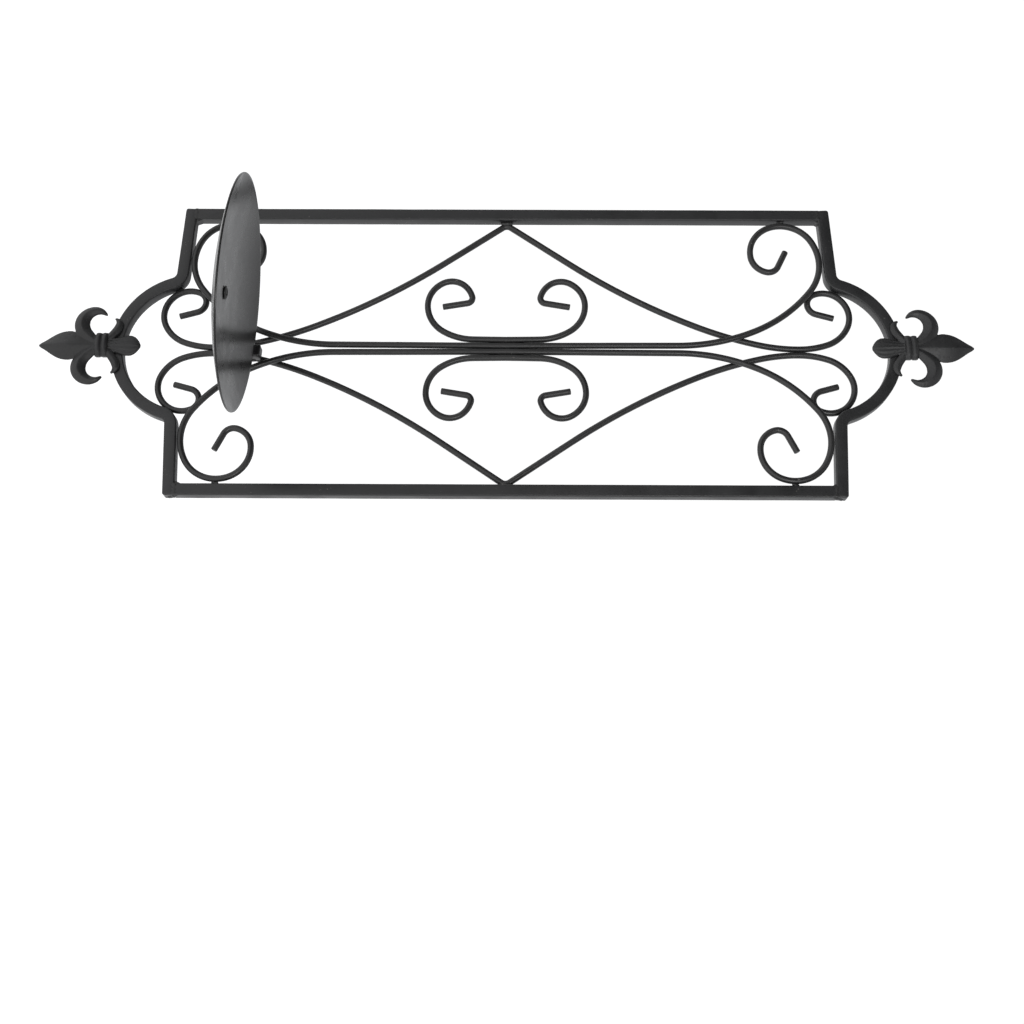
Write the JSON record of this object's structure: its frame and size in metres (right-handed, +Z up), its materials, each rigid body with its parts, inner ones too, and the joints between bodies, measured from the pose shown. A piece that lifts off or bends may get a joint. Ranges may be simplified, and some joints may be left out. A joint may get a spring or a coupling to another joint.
{
  "type": "wall candle sconce",
  "caption": "Upright wall sconce: square-bar frame with arched ends, round-rod scrollwork, fleur-de-lis finials and a shallow dish on an arm for a pillar candle.",
  "frame": {"origin": "middle of the panel's back, on the wall plane", "axes": "+Z up, +X to the right of someone facing the sconce, +Y into the wall, so the candle dish stands out along -Y"},
  "size_m": [0.1714, 0.131, 0.514],
  "materials": {
    "frame_black": "satin black powder coat",
    "scroll_black": "satin black powder coat",
    "cast_black": "satin black powder coat on a rough casting",
    "dish_black": "semi-gloss black powder coat",
    "screw_black": "blackened steel",
    "weld_black": "satin black powder coat over weld bead"
  },
  "bodies": {
    "root": {"rail_left": "frame_black", "rail_right": "frame_black", "arch_top": "frame_black", "arch_bottom": "frame_black", "dish_arm": "frame_black", "long_scroll_left": "scroll_black", "long_scroll_right": "scroll_black", "vee_scroll_left": "scroll_black", "vee_scroll_right": "scroll_black", "short_scroll_left": "scroll_black", "short_scroll_right": "scroll_black", "finial_top": "cast_black", "finial_bottom": "cast_black", "candle_dish": "dish_black", "dish_screw": "screw_black", "apex_weld_left": "weld_black", "apex_weld_right": "weld_black", "corner_weld_top_left": "weld_black", "corner_weld_top_right": "weld_black", "corner_weld_bottom_left": "weld_black", "corner_weld_bottom_right": "weld_black", "scroll_tack_top_left": "weld_black", "scroll_tack_top_right": "weld_black", "scroll_tack_bottom_left": "weld_black", "scroll_tack_bottom_right": "weld_black"}
  },
  "joints": []
}
